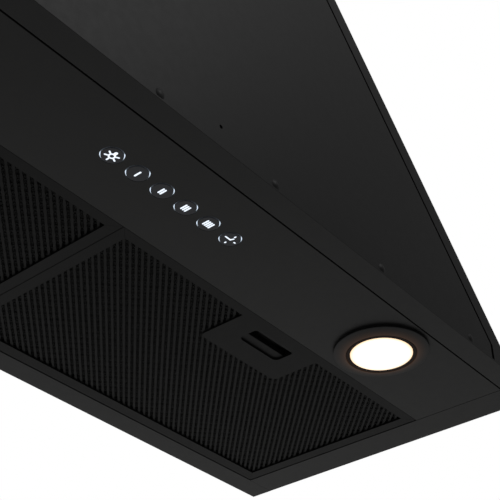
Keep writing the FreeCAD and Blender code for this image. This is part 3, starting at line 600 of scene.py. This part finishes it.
def button_signs(material):
    for name in BUTTONS:
        low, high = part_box("button_" + name)
        centre = (low + high) / 2
        piece = mesh_piece("sign_" + name)
        edit = bmesh.new()
        if name == "light":
            light_sign(edit, centre.x, centre.y, low.z)
        elif name == "timer":
            timer_sign(edit, centre.x, centre.y, low.z)
        else:
            speed_sign(edit, centre.x, centre.y, low.z, int(name[-1]))
        close_edit(edit, piece)
        piece.data.materials.append(material)
        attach(piece, "button_" + name)


# ------------------------------------------------------------------ filter frames with mitred bars
FRONT_BAR, SEAM_BAR, OUTER_BAR, REAR_BAR = 7.9 * MM, 8.95 * MM, 10.3 * MM, 11.0 * MM
BAR_WALL = 1.0 * MM
MITRE_GAP = 0.07 * MM
FRONT_REACH = 0.55 * MM      # the front and seam bars nearly close the gaps beside them
SEAM_REACH = 0.23 * MM
TAB_HALF_WIDTH = 15.0 * MM
TAB_OFFSET = 110.0 * MM      # of a rear tab from the filter's middle
TAB_REACH = 6.3 * MM
TAB_LEVEL = 1.5 * MM
TAB_SHEET = 1.2 * MM


def frame_profile(z0, z1):
    """Hollow C section as (share of the bar's width, height): outer wall, face lip and back lip."""
    soft = 0.5 * MM
    return [(0.0, z0 + soft), (0.02, z0 + soft * 0.4), (0.06, z0), (1.0, z0), (1.0, z0 + BAR_WALL),
            (0.13, z0 + BAR_WALL), (0.13, z1 - BAR_WALL), (1.0, z1 - BAR_WALL), (1.0, z1), (0.06, z1),
            (0.0, z1 - soft)]


def add_bar(edit, outer, inner, profile):
    """One bar between two corners, given by their outer and inner points."""
    way = (outer[1] - outer[0]).normalized()
    ends = []
    for k, shift in ((0, MITRE_GAP), (1, -MITRE_GAP)):
        end = []
        for share, z in profile:
            flat = outer[k].lerp(inner[k], share) + way * shift
            end.append(edit.verts.new((flat.x, flat.y, z)))
        ends.append(end)
    for k in range(len(profile)):
        m = (k + 1) % len(profile)
        edit.faces.new((ends[0][k], ends[1][k], ends[1][m], ends[0][m]))
    edit.faces.new(list(reversed(ends[0])))
    edit.faces.new(ends[1])


def add_block(edit, x0, x1, y0, y1, z0, z1):
    low = [edit.verts.new((x, y, z0)) for x, y in ((x0, y0), (x1, y0), (x1, y1), (x0, y1))]
    high = [edit.verts.new((v.co.x, v.co.y, z1)) for v in low]
    edit.faces.new(list(reversed(low)))
    edit.faces.new(high)
    for i in range(4):
        j = (i + 1) % 4
        edit.faces.new((low[i], low[j], high[j], high[i]))


def frame_corners(low, high, left, right, front, rear):
    """Corners of the rectangle inside low and high, moved in by the four widths."""
    return [Vector((low.x + left, low.y + front)), Vector((high.x - right, low.y + front)),
            Vector((high.x - right, high.y - rear)), Vector((low.x + left, high.y - rear))]


def filter_frames(material):
    """Four bars per frame that meet in open mitres, with the two tabs that rest on the rear flange."""
    for side in SIDES:
        low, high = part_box(side + "_filter_frame")
        bars, reach = (OUTER_BAR, SEAM_BAR), (0.0, -SEAM_REACH)
        if side == "right":
            bars, reach = bars[::-1], reach[::-1]
        outer = frame_corners(low, high, *reach, -FRONT_REACH, TAB_REACH)
        inner = frame_corners(low, high, *bars, FRONT_BAR, TAB_REACH + REAR_BAR)
        edit = bmesh.new()
        for i in range(4):
            j = (i + 1) % 4
            add_bar(edit, (outer[i], outer[j]), (inner[i], inner[j]), frame_profile(low.z, high.z))
        for offset in (-TAB_OFFSET, TAB_OFFSET):
            x = (low.x + high.x) / 2 + offset
            add_block(edit, x - TAB_HALF_WIDTH, x + TAB_HALF_WIDTH, high.y - TAB_REACH - MM, high.y,
                      flange_z + TAB_LEVEL, flange_z + TAB_LEVEL + TAB_SHEET)
        bmesh.ops.recalc_face_normals(edit, faces=edit.faces)
        piece = mesh_piece(side + "_frame_bars")
        close_edit(edit, piece)
        piece.data.materials.append(material)
        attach(piece, side + "_filter")
        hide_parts(side + "_filter_frame")


# ------------------------------------------------------------------ finishes on the CAD nodes
def finish_node(node, material):
    piece = frame["nodes"][node]
    piece.data.materials.clear()
    piece.data.materials.append(material)


def finish_frame():
    paint = powder_coat("satin_black", (0.005, 0.005, 0.005), 0.46).material
    filter_paint = powder_coat("filter_black", (0.003, 0.003, 0.003), 0.50, 0.10).material
    plastic = button_plastic()
    zinc, steel, alloy = galvanised(), turned_steel(), cast_alloy()
    black_abs = moulded("black_abs", (0.03, 0.03, 0.03), 0.5)
    grey_abs = moulded("grey_plastic", (0.45, 0.46, 0.46), 0.45)
    board = circuit_board()
    ring_glow = glow("ring_light", (0.72, 0.85, 1.0), 1.1)
    by_slot = {"black_paint": paint, "filter_black": filter_paint, "mesh_black": filter_paint,
               "rivet_black": paint, "button_plastic": plastic, "light_guide": ring_glow,
               "galvanised": zinc, "steel": steel, "cast_alloy": alloy, "abs": black_abs,
               "grey_plastic": grey_abs, "board": board, "wire_sleeve": braided_sleeve()}
    for part in frame["record"]["subparts"]:
        if part["material_slot"] in by_slot:
            finish_node(part["node"], by_slot[part["material_slot"]])
    for side in SIDES:
        low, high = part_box(side + "_lamp_lens")
        centre = (low + high) / 2
        rim_low, rim_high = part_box(side + "_lamp_bezel")
        finish_node(side + "_lamp_lens", lens_material(side, centre, (high.x - low.x) / 2))
        finish_node(side + "_lamp_bezel", bezel_material(side, centre, (rim_high.x - rim_low.x) / 2))
    return filter_paint


add_camera()
add_stage()
add_light("gleam", place=(0.55, -1.5, 1.3), aim=(-0.2, 0, -0.2), size=0.9, power=5.5)
add_light("top", place=(0.4, 1.6, 2.2), aim=(0.5, 0.6, -1.0), size=1.6, power=67)
filter_paint = finish_frame()
filter_meshes(coated_mesh(), painted_shade_sheet_material())
filter_frames(filter_paint)
button_signs(glow("sign_light", (0.78, 0.87, 1.0), 1.0, 0.04))
